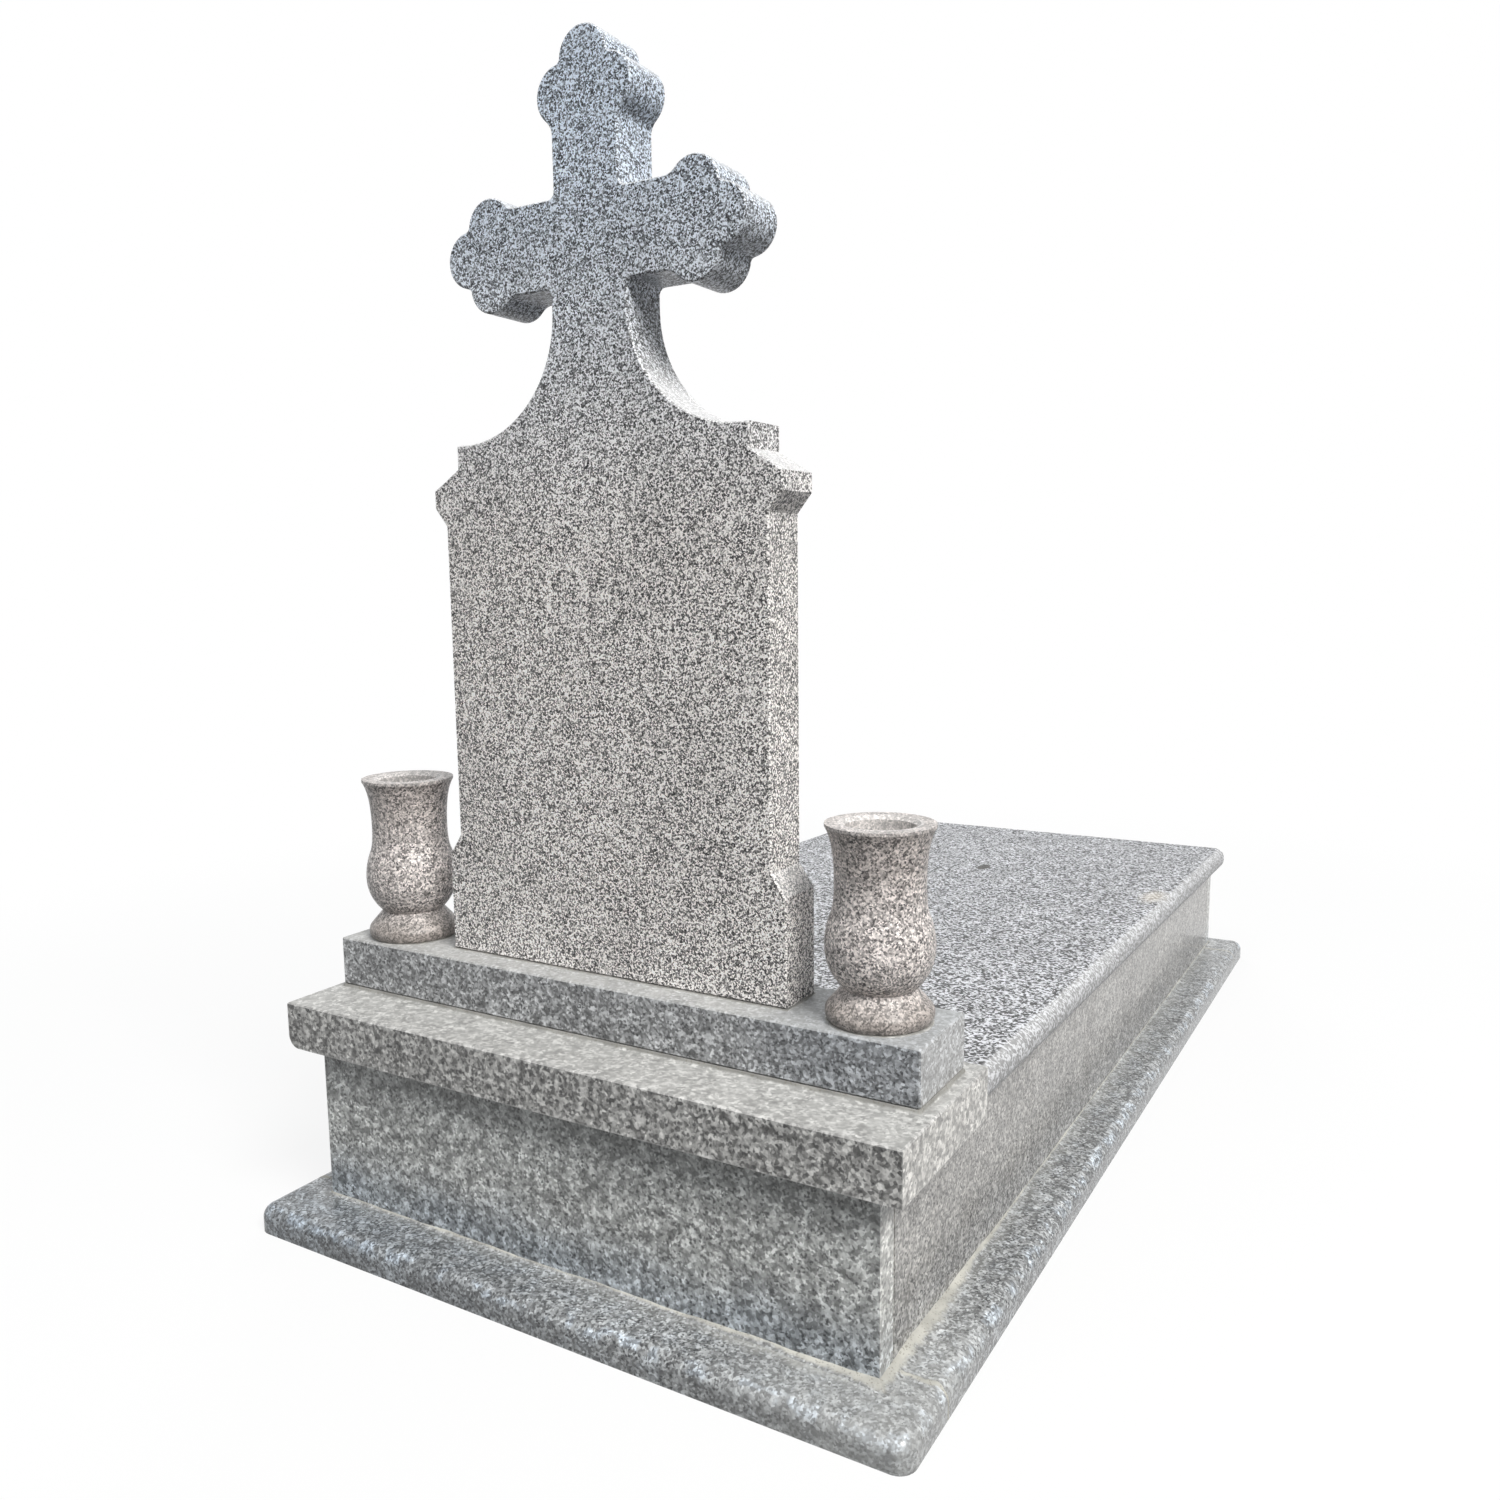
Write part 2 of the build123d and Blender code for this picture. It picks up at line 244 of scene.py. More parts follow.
def granite(name, stone, dust_and_light, roughness, specular=0.5, edge_wear_and_highlight=0.0, dressing=None):
    """Polished granite: the speckle of the stone, a dusty layer on what faces up, and sharp edges rubbed
    pale.
    The layer is partly painted light on the tops, and the pale edges are partly a painted highlight.

    The dressing adds what only one kind of stone here has.
    """
    material, at, shader = new_finish(name)
    colour, flecks = speckle(at, **stone)
    facing = at.node("ShaderNodeNewGeometry", output="Normal")
    # Dust on what faces up, partly painted light on the tops
    top_film_and_light = between(part_of(facing, "Z"), 0.25, 0.95) * (0.4 + noise(at, 24.0, 4.0) * 1.2) * dust_and_light
    colour = blend(top_film_and_light, colour, DUST_AND_TOP_LIGHT)
    if dressing:
        colour = dressing(at, facing, colour)
    # Edges rubbed pale, partly a painted highlight along them
    if edge_wear_and_highlight:
        eased = at.node("ShaderNodeBevel", {"samples": 4}, {"Radius": 0.0035})
        settings = {"operation": "DOT_PRODUCT"}
        turned = at.node("ShaderNodeVectorMath", settings, {0: eased, 1: facing}, "Value")
        colour = blend(between(1 - turned, 0.03, 0.20) * edge_wear_and_highlight, colour, RUBBED_EDGE_AND_HIGHLIGHT)
    feed(shader, "Base Color", colour)
    feed(shader, "Roughness", roughness + top_film_and_light * 0.5 + (noise(at, 60.0) - 0.5) * 0.16)
    shader.inputs["Specular IOR Level"].default_value = specular
    bump = at.node("ShaderNodeBump", {}, {"Strength": 0.10, "Distance": 0.0006, "Height": flecks})
    feed(shader, "Normal", bump)
    return material


def stela_painted_light(at, facing, colour):
    """The stela: painted cool sky light, bluer and greyer up to the top of its cross, painted light on what
    faces up and painted shade on its undersides.
    """
    # Painted cool sky light: bluer and greyer up to the top of the cross
    colour = stained(between(part_of(at, "Z"), 1.00, 1.65), colour, PAINTED_SKY_TINT)
    up = part_of(facing, "Z")
    # Painted light on what faces up
    colour = blend(between(up, 0.30, 0.80) * 0.50, colour, PAINTED_TOP_LIGHT)
    # Painted shade on the undersides
    return stained(1 - between(up, -0.90, -0.30), colour, PAINTED_UNDERSIDE_SHADE)


def darker_foot(at, colour, share):
    """The lowest hand's breadth of a panel is darker and bluish, with an uneven upper edge."""
    low = part_of(at, "Z") + (noise(at, 9.0, 3.0) - 0.5) * 0.10
    bluish_band = 1 - between(low, KERB_TOP, KERB_TOP + 0.11)
    return stained(bluish_band * share, colour, BLUISH_DARK_FOOT)


def sawn_and_side_lit(facing, colour, share):
    """What faces right or left is cut with a saw, not polished: its speckle is brighter, under a little
    pale dusting.
    That brightness is partly painted side light.
    """
    # Brighter ends cut with a saw, partly painted side light
    sawn_and_lit = blend(0.3, stained(1.0, colour, SAWN_AND_SIDE_LIGHT), SAWN_DUST_AND_SIDE_LIGHT)
    return blend(between(size_of(part_of(facing, "X")), 0.80, 0.95) * share, colour, sawn_and_lit)


def side_panel_wear(at, facing, colour):
    """A side panel: faint upright streaks of dirt above its darker, bluish foot."""
    streaks = between(noise(stretched(at, (1.0, 1.0, 0.12)), 30.0, 3.0), 0.50, 0.72)
    return darker_foot(at, stained(streaks * 0.55, colour, PANEL_STREAK), 0.35)


def end_panel_foot_and_lit_ends(at, facing, colour):
    """An end panel: a darker, bluish foot and saw-cut ends, partly painted side light."""
    return sawn_and_side_lit(facing, darker_foot(at, colour, 0.75), 0.9)


def slab_lit_sawn_ends(at, facing, colour):
    """The head slab: saw-cut ends, partly painted side light."""
    return sawn_and_side_lit(facing, colour, 1.0)


def plinth_shade_and_lit_ends(at, facing, colour):
    """The plinth: darker and bluish below the right-hand vase, with saw-cut ends, partly painted side
    light.
    """
    right = between(part_of(at, "X"), 0.20, 0.38)
    return sawn_and_side_lit(facing, stained(right * 0.45, colour, PLINTH_SHADE), 1.0)


def vase_grime_and_painted_light(at, facing, colour):
    """A vase: a brown, grimy foot, painted shade below its flare, a pale ring on its rim and painted light
    inside its bore.

    The distance from the vase's middle line, the root of the summed squares, tells outside from inside.
    """
    high = part_of(at, "Z")
    east = size_of(part_of(at, "X")) - VASE_MIDDLE[0]
    north = part_of(at, "Y") - VASE_MIDDLE[1]
    outside = between(at.math("SQRT", east * east + north * north, 0.0), 0.052, 0.057)
    foot = 1 - between(high, VASE_BOTTOM + 0.010, VASE_BOTTOM + 0.060)
    # Painted shade below the flare, on the outside
    flare = between(high, VASE_TOP - 0.11, VASE_TOP - 0.03) * outside
    grime_and_shade = (foot * 0.95 + flare * 0.50) * (0.55 + noise(at, 30.0, 3.0) * 0.9)
    colour = blend(foot * 0.35, colour, VASE_FOOT_GRIME)
    colour = stained(grime_and_shade, colour, VASE_GRIME_AND_SHADE)
    rim = between(high, VASE_TOP - 0.006, VASE_TOP - 0.003)
    # Painted light on the inner wall of the bore
    bore = (1 - outside) * between(high, VASE_TOP - 0.12, VASE_TOP - 0.08)
    return blend(at.math("MAXIMUM", rim * 0.20, bore * 0.50), colour, VASE_RIM_AND_BORE_LIGHT)


def kerb_wear_and_painted_light(at, facing, colour):
    """The kerb: pale patches, on its round edge mostly a painted sky reflection, and a thin cement skin
    beside the panels.

    The cement thins out with the distance from the panels' rectangle and is thickest at the head's right
    corner, which is dusty all over. The head end grows darker towards its left.
    """
    up = part_of(facing, "Z")
    patches = between(noise(at, 38.0, 4.0), 0.46, 0.62)
    # The round edge, where the pale patches are mostly a painted sky reflection
    edge = between(up, 0.15, 0.60) * (1 - between(up, 0.90, 0.99))
    colour = stained(patches * (0.20 + edge * 0.80), colour, KERB_PATCH_AND_SKY_REFLECTION)
    across = size_of(part_of(at, "X")) - PANEL_RIGHT
    along = part_of(at, "Y")
    past_head = PANEL_FRONT - along
    past_foot = along - PANEL_BACK
    out = at.math("MAXIMUM", across, at.math("MAXIMUM", past_head, past_foot))
    near = 1 - between(out + (noise(at, 30.0, 4.0) - 0.5) * 0.030, 0.004, 0.032)
    corner = 1 - between(apart(at, (PANEL_RIGHT, PANEL_FRONT, KERB_TOP)), 0.05, 0.32)
    colour = blend(near * (0.22 + corner * 0.50), colour, CEMENT_FILM)
    left = (1 - between(part_of(at, "X"), -0.50, 0.25)) * between(past_head, -0.03, 0.02)
    colour = stained(left, colour, KERB_SHADE)
    dusty = 1 - between(apart(at, (KERB_EDGE, PANEL_FRONT - 0.06, KERB_TOP)), 0.06, 0.34)
    return blend(dusty * (0.05 + noise(at, 45.0, 4.0) * 0.62), colour, CORNER_DUST)


# The marks on the cover: where they are, and how much longer they are along the grave than across it
STAIN_PLACE = (0.466, 0.425, 0.309)
SPECK_PLACE = (0.044, 0.536, 0.306)
MARK_SQUEEZE = (1.0, 0.4, 1.0)


def cover_marks_and_highlight(at, facing, colour):
    """The cover: a painted highlight on its round edge, a faint cream stain beside it and one dark speck.

    Both marks fade with the distance from their places, on coordinates squeezed along the grave.
    """
    # Painted highlight on the round edge
    rim = 1 - between(size_of(part_of(facing, "Z")), 0.93, 0.99)
    colour = blend(rim * 0.42, colour, COVER_EDGE_HIGHLIGHT)
    squeezed = stretched(at, MARK_SQUEEZE)
    stain_place, speck_place = [tuple(np.multiply(p, MARK_SQUEEZE)) for p in (STAIN_PLACE, SPECK_PLACE)]
    rough_edge = (noise(at, 90.0) - 0.5) * 0.012
    stain = 1 - between(apart(squeezed, stain_place) + rough_edge, 0.006, 0.036)
    colour = blend(stain * 0.40, colour, CREAM_STAIN)
    speck = 1 - between(apart(squeezed, speck_place) + rough_edge, 0.010, 0.015)
    return blend(speck * 0.90, colour, DARK_SPECK)


def mortar(name, tone, stone, dust_and_light):
    """Dry smoothed mortar: sandy grains, darker damp patches and a matt skin.

    Where its thickness runs out, as the mesh's own number "thin" says, the dusty stone below, with its
    painted top light, shows through.
    """
    material, at, shader = new_finish(name)
    patches = noise(at, 22.0, 5.0)
    colour = blend(between(patches, 0.30, 0.70), [0.70 * c for c in tone], tone)
    sand = grains(at, 0.0018, "Red")
    colour = blend(between(sand, 0.86, 0.94) * 0.5, colour, MORTAR_SAND)
    thin = at.node("ShaderNodeAttribute", {"attribute_name": "thin"}, output="Fac")
    bare = between(thin + (noise(at, 70.0, 4.0) - 0.5) * 0.9, 0.28, 0.85)
    colour = blend(bare, colour, blend(dust_and_light, speckle(at, **stone)[0], DUST_AND_TOP_LIGHT))
    feed(shader, "Base Color", colour)
    shader.inputs["Roughness"].default_value = 0.9
    height = noise(at, 400.0, 4.0) + patches * 2.0
    bump = at.node("ShaderNodeBump", {}, {"Strength": 0.35, "Distance": 0.0012, "Height": height})
    feed(shader, "Normal", bump)
    return material


# The stones: their minerals from dark to pale, share of mica, sizes of grain and mottle in metres,
# share of the mottle and tint
STELA = dict(
    minerals=(0.01, 0.23, 0.97, 1.0), mica=0.24, grain=0.0022, mottle=0.006, soft=0.04,
    tint=(1.10, 1.055, 1.03),
)
SLAB = dict(
    minerals=(0.05, 0.19, 0.51, 1.0), mica=0.14, grain=0.0048, mottle=0.0065, soft=0.42,
    tint=(0.91, 0.90, 0.875),
)
PLINTH = dict(
    minerals=(0.10, 0.19, 0.41, 0.86), mica=0.14, grain=0.0038, mottle=0.006, soft=0.35,
    tint=(0.94, 0.955, 0.975),
)
COVER = dict(
    minerals=(0.04, 0.08, 0.86, 0.96), mica=0.16, grain=0.0039, mottle=0.009, soft=0.05,
    tint=(0.77, 0.78, 0.82), places=(0.0, 0.36, 0.60, 1.0),
)
PANEL = dict(
    minerals=(0.16, 0.26, 0.46, 0.82), mica=0.12, grain=0.0036, mottle=0.006, soft=0.32,
    tint=(1.035, 1.005, 0.965),
)
END_PANEL = dict(
    minerals=(0.11, 0.22, 0.45, 0.90), mica=0.13, grain=0.0044, mottle=0.008, soft=0.42,
    tint=(1.19, 1.21, 1.185),
)
KERB = dict(
    minerals=(0.10, 0.19, 0.40, 0.82), mica=0.12, grain=0.0035, mottle=0.006, soft=0.30,
    tint=(0.82, 0.845, 0.86),
)
VASE = dict(
    minerals=(0.06, 0.29, 0.62, 1.0), mica=0.17, grain=0.0026, mottle=0.006, soft=0.22,
    tint=(1.115, 1.03, 0.995),
)
FINE_MORTAR = (0.58, 0.57, 0.52)
GREY_MORTAR = (0.34, 0.335, 0.315)

MORTAR = mortar("mortar", FINE_MORTAR, KERB, dust_and_light=0.20)
BED_MORTAR = mortar("bed_mortar", GREY_MORTAR, SLAB, dust_and_light=0.50)
END_PANEL_STONE = granite(
    "end_panel_granite", END_PANEL, dust_and_light=0.3, roughness=0.20, edge_wear_and_highlight=0.4, dressing=end_panel_foot_and_lit_ends
)
# The finish of each material slot, and of the pieces that differ from their slot
SLOT_FINISHES = {
    "kerb_granite": granite("kerb_granite", KERB, dust_and_light=0.03, roughness=0.20, dressing=kerb_wear_and_painted_light),
    "panel_granite": granite(
        "panel_granite", PANEL, dust_and_light=0.3, roughness=0.20, edge_wear_and_highlight=0.4, dressing=side_panel_wear
    ),
    "slab_granite": granite("slab_granite", SLAB, dust_and_light=0.50, roughness=0.28, edge_wear_and_highlight=0.6, dressing=slab_lit_sawn_ends),
    "stela_granite": granite(
        "stela_granite", STELA, dust_and_light=0.25, roughness=0.40, specular=0.3, edge_wear_and_highlight=0.35, dressing=stela_painted_light
    ),
    "vase_granite": granite(
        "vase_granite", VASE, dust_and_light=0.0, roughness=0.42, specular=0.4, dressing=vase_grime_and_painted_light
    ),
    "mortar": MORTAR,
}
PIECE_FINISHES = {
    "cover_slab": granite(
        "cover_granite", COVER, dust_and_light=0.08, roughness=0.45, specular=0.1, dressing=cover_marks_and_highlight
    ),
    "plinth": granite("plinth_granite", PLINTH, dust_and_light=0.55, roughness=0.26, edge_wear_and_highlight=0.6, dressing=plinth_shade_and_lit_ends),
    "panel_head": END_PANEL_STONE,
    "panel_foot": END_PANEL_STONE,
}
for subpart in frame["record"]["subparts"]:
    mesh = nodes[subpart["node"]].data
    mesh.materials.clear()
    mesh.materials.append(PIECE_FINISHES.get(subpart["node"], SLOT_FINISHES[subpart["material_slot"]]))


def ripple(along, seed, waves, share):
    """Smooth uneven line: a sum of sines with drawn phases, each wave half as strong as the last."""
    draw = np.random.default_rng(seed)
    total = np.zeros_like(along)
    for order, wave in enumerate(waves):
        total += share * 0.5**order * np.sin(2 * np.pi * (along / wave + draw.random()))
    return total


def closed_strip(name, points, thin, finish, caps):
    """A mesh from rings of points (runs x round x 3), joined run to run and round each ring.

    The ends are capped, or else the last ring joins the first. The number thin of each place, round one
    ring or in all of them, tells the finish where the mortar runs out.
    """
    runs, around = points.shape[:2]
    index = np.arange(runs * around).reshape(runs, around)
    after = np.roll(index, -1, axis=1)
    faces = np.stack([index[:-1], after[:-1], after[1:], index[1:]], -1).reshape(-1, 4)
    polygons = faces.tolist()
    if caps:
        polygons += [index[0][::-1].tolist(), index[-1].tolist()]
    else:
        polygons += np.stack([index[-1], after[-1], after[0], index[0]], -1).tolist()
    mesh = bpy.data.meshes.new(name)
    mesh.from_pydata(points.reshape(-1, 3).tolist(), [], polygons)
    mesh.polygons.foreach_set("use_smooth", np.ones(len(polygons), bool))
    spread_thin = np.broadcast_to(thin, (runs, around)).astype(np.float32).ravel()
    mesh.attributes.new("thin", "FLOAT", "POINT").data.foreach_set("value", spread_thin)
    mesh.materials.append(finish)
    piece = bpy.data.objects.new(name, mesh)
    bpy.context.scene.collection.objects.link(piece)
    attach(piece, "root")
    return piece


# How far mortar is sunk into the stones behind it
MORTAR_SUNK = 0.001

# Mortar fillets: rings along a run, steps across, power of the hollow curve, the width at which the mortar
# is no longer thin and how thin it gets below that
FILLET_RUNS = 260
FILLET_STEPS = 9
FILLET_HOLLOW = 1.7
FULL_WIDTH = 0.014
SCANT = 0.45


def fillet(name, corner, along, outward, length, measures, seed):
    """Mortar fillet where a panel meets the kerb.

    The profile is a hollow curve from height h on the panel to width w on the kerb: at share s of the
    width it is h times (1 - s) to the power FILLET_HOLLOW high. Both follow the measures along the run
    with a ripple. A point goes past the run's ends by its own distance out, so that neighbours meet in a
    mitre. Where the fillet is narrow it is thin too.
    """
    share = np.linspace(0, 1, FILLET_RUNS)
    ease = np.sin(np.pi * share) ** 0.25
    places, widths, heights = np.array(measures).T
    width = np.interp(share, places, widths)
    width = width * (1 + ease * ripple(share * length, seed, (0.31, 0.12, 0.05), 0.22))
    height = np.interp(share, places, heights)
    height = height * (1 + ease * ripple(share * length, seed + 1, (0.23, 0.09, 0.04), 0.25))
    across = np.linspace(0, 1, FILLET_STEPS)
    out = width[:, None] * across
    rise = height[:, None] * (1 - across) ** FILLET_HOLLOW
    inside = np.full((FILLET_RUNS, 1), -MORTAR_SUNK)
    out = np.concatenate([inside, inside, out, out[:, -1:]], 1)
    rise = np.concatenate([inside, rise[:, :1], rise, inside], 1)
    reach = np.maximum(out, 0)
    run = -reach + share[:, None] * (length + 2 * reach)
    points = (
        np.array(corner)
        + run[..., None] * np.array(along)
        + out[..., None] * np.array(outward)
        + rise[..., None] * np.array((0, 0, 1))
    )
    scant = SCANT * (1 - np.minimum(width / FULL_WIDTH, 1))
    thin = np.concatenate([[0, 0], across, [1]]) + scant[:, None]
    return closed_strip(name, points, thin, MORTAR, caps=True)


# Measures of each fillet: where along the run, how wide on the kerb, how high on the panel
HEAD_MEASURES = (
    (0.0, 0.005, 0.003), (0.20, 0.005, 0.003), (0.25, 0.009, 0.004), (0.30, 0.005, 0.003),
    (0.50, 0.006, 0.003), (0.80, 0.008, 0.004), (0.93, 0.014, 0.005), (1.0, 0.020, 0.006),
)
RIGHT_MEASURES = (
    (0.0, 0.020, 0.006), (0.04, 0.020, 0.008), (0.11, 0.025, 0.007), (0.15, 0.012, 0.005),
    (0.22, 0.006, 0.002), (0.60, 0.004, 0.002), (1.0, 0.005, 0.002),
)
FOOT_MEASURES = (
    (0.0, 0.008, 0.005), (0.3, 0.010, 0.006), (0.55, 0.007, 0.005), (1.0, 0.008, 0.006),
)
LEFT_MEASURES = (
    (0.0, 0.008, 0.006), (0.35, 0.008, 0.005), (0.55, 0.012, 0.007), (0.7, 0.008, 0.005),
    (1.0, 0.006, 0.005),
)
box_length = PANEL_BACK - PANEL_FRONT
box_width = 2 * PANEL_RIGHT
fillets = {
    "head": ((-PANEL_RIGHT, PANEL_FRONT, KERB_TOP), (1, 0, 0), (0, -1, 0), box_width, HEAD_MEASURES),
    "right": ((PANEL_RIGHT, PANEL_FRONT, KERB_TOP), (0, 1, 0), (1, 0, 0), box_length, RIGHT_MEASURES),
    "foot": ((PANEL_RIGHT, PANEL_BACK, KERB_TOP), (-1, 0, 0), (0, 1, 0), box_width, FOOT_MEASURES),
    "left": ((-PANEL_RIGHT, PANEL_BACK, KERB_TOP), (0, -1, 0), (-1, 0, 0), box_length, LEFT_MEASURES),
}
for order, (side, (corner, along, outward, length, measures)) in enumerate(fillets.items()):
    piece = fillet(f"mortar_fillet_{side}", corner, along, outward, length, measures, 10 * order + 3)
    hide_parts(f"mortar_bead_{side}")


# Mortar smeared on the kerb's joints: rings along a run, steps across, height in its middle and how far
# its edges lie below the stone
SMEAR_RUNS = 70
SMEAR_STEPS = 11
SMEAR_HEIGHT = 0.0016
SMEAR_DIP = 0.0002


def kerb_pointing(name, middle, side, spread, seed):
    """Mortar smeared along a joint between two kerb stones.

    The path runs on the kerb's top from the panel outwards and over the round edge, where it dies out.
    Across it the height is a squared cosine, and its middle line and half width wander by a ripple. The
    rings of the right-hand ones are turned round, so that their faces point outwards too.
    """
    share = np.linspace(0, 1, SMEAR_RUNS)
    flat = KERB_EDGE - KERB_ROUND - PANEL_RIGHT
    travelled = share * (flat + KERB_ROUND * np.pi / 4)
    turn = np.maximum(travelled - flat, 0) / KERB_ROUND
    reach = np.minimum(travelled, flat) + PANEL_RIGHT + KERB_ROUND * np.sin(turn)
    level = KERB_TOP - KERB_ROUND * (1 - np.cos(turn))
    normal = np.stack([np.sin(turn), np.zeros_like(turn), np.cos(turn)], 1)
    fade = 1 - share**4
    half = spread * (0.75 + 0.25 * fade) * (1 + ripple(travelled, seed, (0.050, 0.021, 0.009), 0.20))
    drift = ripple(travelled, seed + 1, (0.080, 0.030, 0.012), 0.0018)
    across = np.linspace(-1, 1, SMEAR_STEPS)
    proud = SMEAR_HEIGHT * fade[:, None] * np.cos(across * np.pi / 2) ** 2 - SMEAR_DIP
    offset = half[:, None] * across + drift[:, None]
    proud = np.concatenate([proud, np.full((SMEAR_RUNS, 2), -MORTAR_SUNK)], 1)
    offset = np.concatenate([offset, offset[:, -1:], offset[:, :1]], 1)
    start = np.stack([reach, np.zeros_like(reach), level], 1)
    points = start[:, None, :] + proud[..., None] * normal[:, None, :]
    points[..., 1] = middle + offset
    points[..., 0] *= side
    thin = np.concatenate([abs(across), [1, 1]])
    closed_strip(name, points[:, ::-side], thin[::-side], MORTAR, caps=True)


for order, (end, spread) in enumerate((("head", 0.0075), ("foot", 0.0060))):
    for side, sign in (("right", 1), ("left", -1)):
        low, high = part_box(f"kerb_seam_{end}_{side}")
        seed = 101 + 20 * order + sign
        kerb_pointing(f"kerb_pointing_{end}_{side}", (low.y + high.y) / 2, sign, spread, seed)


# Struck mortar round the beds: how far it reaches in over the bed, the dark slit above it, steps across,
# power of the hollow curve and the distance between its rings
BED_COVER = 0.0055
BED_SHADOW = 0.0006
COVE_STEPS = 7
COVE_HOLLOW = 1.6
COVE_SPACING = 0.006
ROUND_COVE_RUNS = 160


def pointing(name, path, outward, level, gap, spread, seed):
    """Mortar struck off along a bed joint: a small hollow cove on a closed path round the stone.

    Over its spread the cove falls from the bed's top to the stone below as (1 - s) to the power
    COVE_HOLLOW at share s, and the spread grows and shrinks by a ripple along the path.
    """
    steps = np.linalg.norm(np.diff(path, axis=0, append=path[:1]), axis=1)
    travelled = np.concatenate([[0], np.cumsum(steps)[:-1]])
    width = spread * (1 + ripple(travelled, seed, (0.13, 0.06, 0.025), 0.35))[:, None]
    across = np.linspace(0, 1, COVE_STEPS)
    inside = np.full((len(path), 2), -BED_COVER)
    out = np.concatenate([inside, width * across, width], 1)
    top = gap - BED_SHADOW
    rise = np.concatenate([[-MORTAR_SUNK, top], top * (1 - across) ** COVE_HOLLOW, [-MORTAR_SUNK]])
    points = np.zeros((*out.shape, 3))
    points[..., :2] = path[:, None, :] + out[..., None] * outward[:, None, :]
    points[..., 2] = level + rise
    thin = np.concatenate([[0, 0], across, [1]])
    closed_strip(name, points, thin, BED_MORTAR, caps=False)


def square_path(low, high):
    """Places and outward directions round a rectangle, in even steps, counter-clockwise.

    At a corner the directions of both sides are added up, which gives a mitre.
    """
    corners = np.array([(low.x, low.y), (high.x, low.y), (high.x, high.y), (low.x, high.y)])
    sides = np.roll(corners, -1, axis=0) - corners
    lengths = np.linalg.norm(sides, axis=1)
    counts = np.maximum((lengths / COVE_SPACING).astype(int), 2)
    starts = np.concatenate([[0], np.cumsum(counts)[:-1]])
    shares = (np.arange(counts.sum()) - np.repeat(starts, counts)) / np.repeat(counts, counts)
    path = np.repeat(corners, counts, 0) + shares[:, None] * np.repeat(sides, counts, 0)
    along = np.repeat(sides / lengths[:, None], counts, 0)
    outward = np.stack([along[:, 1], -along[:, 0]], 1)
    outward[starts] += outward[starts - 1]
    return path, outward


def round_path(centre, radius):
    """Places and outward directions round a circle, counter-clockwise."""
    angle = 2 * np.pi * np.arange(ROUND_COVE_RUNS) / ROUND_COVE_RUNS
    outward = np.stack([np.cos(angle), np.sin(angle)], 1)
    return np.array(centre) + radius * outward, outward


for stone, spread, seed in (("plinth", 0.0035, 51), ("stela", 0.0030, 61)):
    low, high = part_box(f"{stone}_bed")
    path, outward = square_path(*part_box(stone))
    pointing(f"{stone}_pointing", path, outward, low.z, high.z - low.z, spread, seed)
for side, seed in (("right", 71), ("left", 81)):
    low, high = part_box(f"vase_bed_{side}")
    centre = ((low.x + high.x) / 2, (low.y + high.y) / 2)
    path, outward = round_path(centre, (high.x - low.x) / 2)
    pointing(f"vase_pointing_{side}", path, outward, low.z, high.z - low.z, 0.0040, seed)


# Floor and background, lamps and camera
FLOOR_HALF = 30.0
FLOOR_WHITE = 0.84
FLOOR_FADE = (1.5, 3.2)
FLOOR_PALE = (0.80, 0.80, 0.80, 1.0)
FLOOR_DULL = (0.12, 0.12, 0.12, 1.0)
WHITE = (1.0, 1.0, 1.0, 1.0)
SKY = (0.93, 0.97, 1.0, 1.0)
SKY_HORIZON = 0.15
SKY_ZENITH = 0.50


def seen_directly(at):
    """1 for what the camera sees, also in a reflection or through glass, and 0 for light on the object."""
    camera = at.node("ShaderNodeLightPath", output="Is Camera Ray")
    glossy = at.node("ShaderNodeLightPath", output="Is Glossy Ray")
    through = at.node("ShaderNodeLightPath", output="Is Transmission Ray")
    return at.math("MINIMUM", camera + glossy + through, 1.0)


floor_mesh = bpy.data.meshes.new("floor")
floor_corners = [(x * FLOOR_HALF, y * FLOOR_HALF, 0) for x, y in ((-1, -1), (1, -1), (1, 1), (-1, 1))]
floor_mesh.from_pydata(floor_corners, [], [(0, 1, 2, 3)])
floor = bpy.data.objects.new("floor", floor_mesh)
bpy.context.scene.collection.objects.link(floor)

# The floor: dull for the light that it throws back, and a shadow-keeping white, whiter far out, for the eye
floor_finish = bpy.data.materials.new("pale_floor")
floor_finish.use_nodes = True
floor_finish.node_tree.nodes.clear()
sheet = Socket(floor_finish.node_tree)
dull = sheet.node("ShaderNodeBsdfDiffuse", {}, {"Color": FLOOR_DULL})
pale = sheet.node("ShaderNodeBsdfDiffuse", {}, {"Color": FLOOR_PALE})
white = sheet.node("ShaderNodeEmission", {}, {"Color": WHITE, "Strength": 1.0})
floor_at = sheet.node("ShaderNodeTexCoord", output="Object")
away = sheet.node("ShaderNodeVectorMath", {"operation": "LENGTH"}, {0: floor_at}, "Value")
whiteness = FLOOR_WHITE + between(away, *FLOOR_FADE) * (1 - FLOOR_WHITE)
shown_floor = sheet.node("ShaderNodeMixShader", {}, {0: whiteness, 1: pale, 2: white})
mixed = sheet.node("ShaderNodeMixShader", {}, {0: seen_directly(sheet), 1: dull, 2: shown_floor})
sheet.node("ShaderNodeOutputMaterial", {}, {"Surface": mixed})
floor_mesh.materials.append(floor_finish)

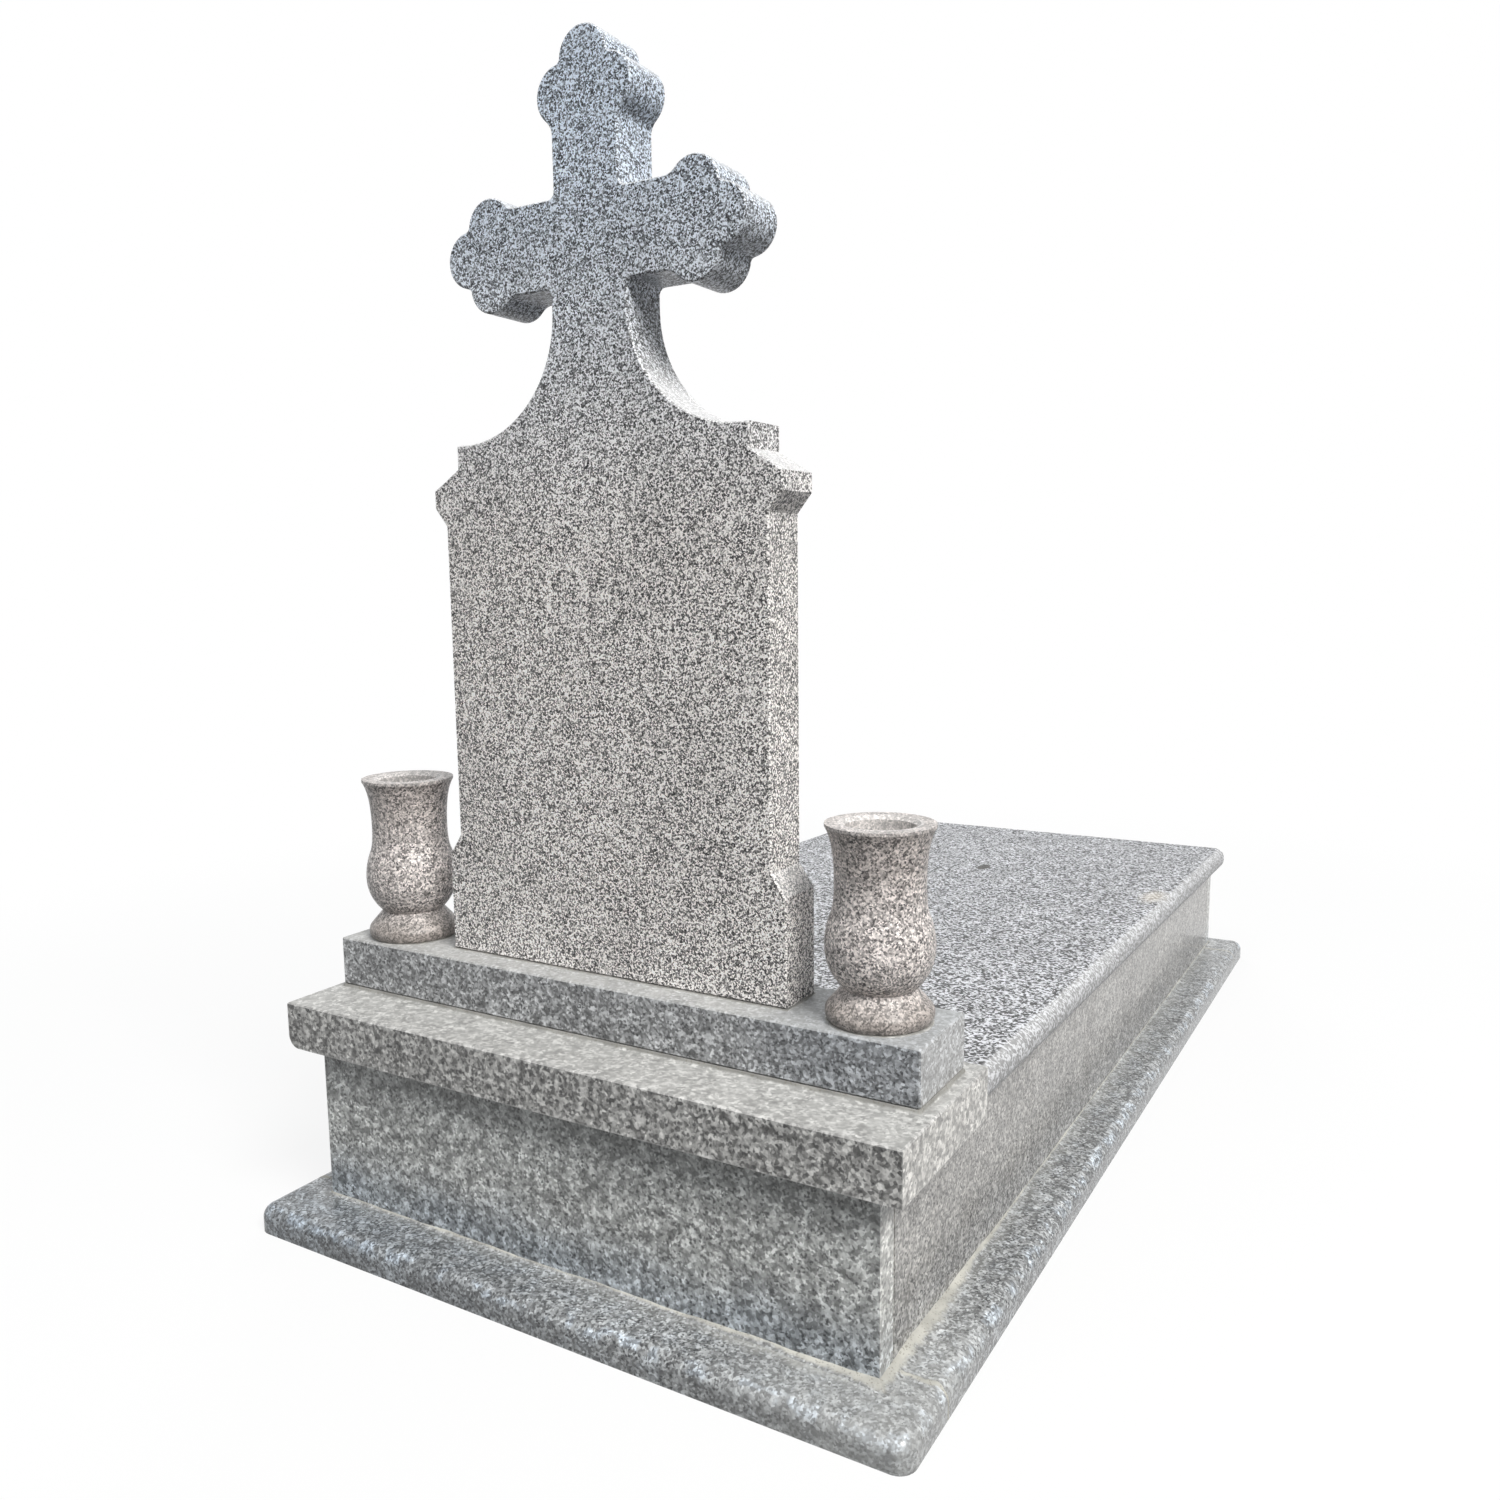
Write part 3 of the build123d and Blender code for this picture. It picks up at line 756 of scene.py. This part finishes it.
# The world: a soft sky, brighter overhead, as light and white for the eye
world = bpy.data.worlds.new("studio")
bpy.context.scene.world = world
world.use_nodes = True
world.node_tree.nodes.clear()
sky_sheet = Socket(world.node_tree)
overhead = part_of(sky_sheet.node("ShaderNodeTexCoord", output="Generated"), "Z")
level = SKY_HORIZON + sky_sheet.math("MAXIMUM", overhead, 0.0) * (SKY_ZENITH - SKY_HORIZON)
fill = sky_sheet.node("ShaderNodeBackground", {}, {"Color": SKY, "Strength": level})
backdrop = sky_sheet.node("ShaderNodeBackground", {}, {"Color": WHITE, "Strength": 1.0})
shown = sky_sheet.node("ShaderNodeMixShader", {}, {0: seen_directly(sky_sheet), 1: fill, 2: backdrop})
sky_sheet.node("ShaderNodeOutputWorld", {}, {"Surface": shown})

LAMP_SIZE = 4.8


def lamp(name, place, aim, watts, colour, hidden=False):
    """A square soft lamp at a place, turned to its aim.

    Neither the camera nor a polished face shows a hidden one.
    """
    data = bpy.data.lights.new(name, "AREA")
    data.shape = "SQUARE"
    data.size = LAMP_SIZE
    data.energy = watts
    data.color = colour
    made = bpy.data.objects.new(name, data)
    made.location = place
    made.rotation_euler = (Vector(aim) - Vector(place)).to_track_quat("-Z", "Y").to_euler()
    made.visible_camera = not hidden
    made.visible_glossy = not hidden
    bpy.context.scene.collection.objects.link(made)


lamp("side_lamp", (7.44, -4.32, 9.0), aim=(0.0, 0.0, 0.6), watts=1500.0, colour=(1.0, 0.985, 0.96))
lamp("front_lamp", (-1.2, -8.2, 9.8), aim=(0.0, -1.0, 0.6), watts=230.0, colour=(0.97, 0.985, 1.0))
lamp("back_lamp", (-5.0, 9.0, 2.6), aim=(0.0, 0.0, 0.6), watts=400.0, colour=(0.98, 0.99, 1.0), hidden=True)

# The camera that took the photograph: place in metres, angles, and its lens and middle in pixels
CAMERA_PLACE = Vector((1.0387, -2.3016, 1.0020))
CAMERA_YAW, CAMERA_PITCH, CAMERA_ROLL = [math.radians(a) for a in (31.2, -8.11, -0.77)]
FRAME_PIXELS = 1500
FOCAL_PIXELS = 1242.28
MIDDLE_PIXELS = (727.1, 757.41)
SENSOR = 36.0
ahead = Vector((
    -math.sin(CAMERA_YAW) * math.cos(CAMERA_PITCH),
    math.cos(CAMERA_YAW) * math.cos(CAMERA_PITCH),
    math.sin(CAMERA_PITCH),
))
level_right = Vector((math.cos(CAMERA_YAW), math.sin(CAMERA_YAW), 0.0))
level_up = level_right.cross(ahead)
right = level_right * math.cos(CAMERA_ROLL) + level_up * math.sin(CAMERA_ROLL)
up = level_up * math.cos(CAMERA_ROLL) - level_right * math.sin(CAMERA_ROLL)
camera_data = bpy.data.cameras.new("camera")
camera_data.sensor_width = SENSOR
camera_data.lens = SENSOR * FOCAL_PIXELS / FRAME_PIXELS
camera_data.shift_x = 0.5 - MIDDLE_PIXELS[0] / FRAME_PIXELS
camera_data.shift_y = MIDDLE_PIXELS[1] / FRAME_PIXELS - 0.5
camera = bpy.data.objects.new("camera", camera_data)
camera.matrix_world = Matrix.Translation(CAMERA_PLACE) @ Matrix((right, up, -ahead)).transposed().to_4x4()
bpy.context.scene.collection.objects.link(camera)
bpy.context.scene.camera = camera
bpy.context.scene.view_settings.view_transform = "Standard"
